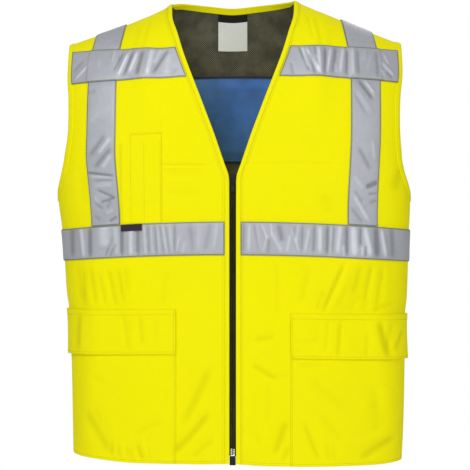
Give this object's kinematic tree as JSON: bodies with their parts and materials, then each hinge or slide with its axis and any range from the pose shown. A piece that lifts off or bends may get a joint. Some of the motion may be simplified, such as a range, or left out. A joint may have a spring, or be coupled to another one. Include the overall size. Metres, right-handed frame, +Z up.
{
  "type": "cooling vest",
  "caption": "Sleeveless high-visibility work vest with reflective tape, front zip, pockets and a cooling pad at the back.",
  "frame": {"origin": "midway between the two neck points, at their height", "axes": "+Z up, the front with its zip faces -Y, +X towards the wearer's left"},
  "size_m": [0.56, 0.2447, 0.7309],
  "materials": {
    "yellow_cloth": "fluorescent yellow warp-knit polyester",
    "silver_tape": "grey retroreflective tape",
    "lining_mesh": "dark open mesh",
    "cooling_cloth": "blue padded cloth",
    "black_tape": "black zip tape",
    "zip_plastic": "dark moulded zip parts",
    "dark_label": "woven dark label, bare",
    "pale_label": "white printed-type label, bare"
  },
  "bodies": {
    "vest": {"front_panel_right": "yellow_cloth", "front_panel_left": "yellow_cloth", "back_panel": "yellow_cloth", "edge_band_right": "yellow_cloth", "edge_band_left": "yellow_cloth", "armhole_band_right": "yellow_cloth", "armhole_band_left": "yellow_cloth", "neck_facing": "yellow_cloth", "pocket_right": "yellow_cloth", "pocket_left": "yellow_cloth", "flap_right": "yellow_cloth", "flap_left": "yellow_cloth", "pen_pocket": "yellow_cloth", "waist_tape_right": "silver_tape", "waist_tape_left": "silver_tape", "waist_tape_back": "silver_tape", "chest_tape_right": "silver_tape", "chest_tape_left": "silver_tape", "brace_tape_right": "silver_tape", "brace_tape_left": "silver_tape", "back_lining": "lining_mesh", "cooling_panel": "cooling_cloth", "zip_tape_right": "black_tape", "zip_tape_left": "black_tape", "zip_chain": "black_tape", "zip_slider": "zip_plastic", "zip_box": "zip_plastic", "side_label": "dark_label", "neck_label_head": "dark_label", "neck_label": "pale_label"},
    "zip_pull": {"zip_pull": "zip_plastic"}
  },
  "joints": [
    {"name": "zip_pull_hinge", "type": "hinge", "parent": "vest", "child": "zip_pull", "pos_m": [0, -0.12598, -0.27809], "axis": [-1, 0, 0], "range_deg": [0, 165]}
  ]
}
